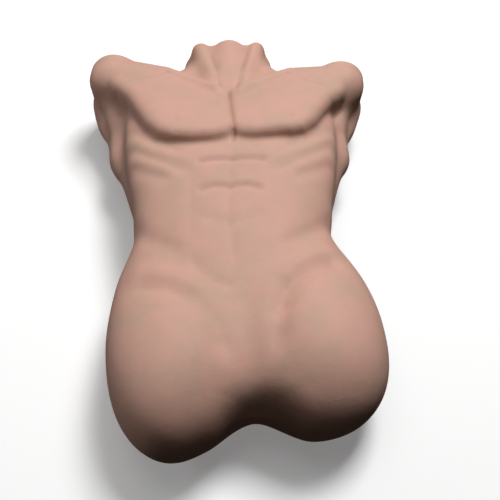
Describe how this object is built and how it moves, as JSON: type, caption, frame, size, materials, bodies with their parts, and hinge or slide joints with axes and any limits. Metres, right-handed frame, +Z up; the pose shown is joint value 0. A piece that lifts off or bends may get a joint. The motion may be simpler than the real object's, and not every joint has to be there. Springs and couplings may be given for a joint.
{
  "type": "torso mannequin",
  "caption": "Soft male torso mannequin without head, arms or legs, smooth featureless pelvis, lying on its back, on an inner steel skeleton.",
  "frame": {"origin": "on the ground under the middle of the torso's box, the torso lying on its back", "axes": "+Z up, out of the front of the body; +Y towards the neck; +X to the torso's own left"},
  "size_m": [0.4344, 0.6876, 0.1953],
  "materials": {
    "soft_elastomer": "satin, soft moulded skin",
    "neck_plate_plastic": "fine moulded grain",
    "zinc_fastener": "zinc plated, dull",
    "spine_steel": "bare tube and bar",
    "clamp_aluminium": "machined",
    "core_foam": "cut rigid foam"
  },
  "bodies": {
    "root": {"torso_skin": "soft_elastomer", "neck_plate": "neck_plate_plastic", "neck_stud": "zinc_fastener", "neck_washer": "zinc_fastener", "neck_nut": "zinc_fastener", "spine_tube": "spine_steel", "spine_plug_upper": "zinc_fastener", "spine_plug_lower": "zinc_fastener", "shoulder_bar": "spine_steel", "pelvis_bar": "spine_steel", "clamp_block_upper": "clamp_aluminium", "clamp_block_lower": "clamp_aluminium", "shoulder_disc_left": "spine_steel", "shoulder_disc_right": "spine_steel", "hip_disc_left": "spine_steel", "hip_disc_right": "spine_steel", "set_screw_upper_spine": "zinc_fastener", "set_screw_upper_bar": "zinc_fastener", "set_screw_lower_spine": "zinc_fastener", "set_screw_lower_bar": "zinc_fastener", "disc_screw_shoulder_left": "zinc_fastener", "disc_screw_shoulder_right": "zinc_fastener", "disc_screw_hip_left": "zinc_fastener", "disc_screw_hip_right": "zinc_fastener", "chest_core_front": "core_foam", "chest_core_back": "core_foam", "pelvis_core_front": "core_foam", "pelvis_core_back": "core_foam"}
  },
  "joints": []
}
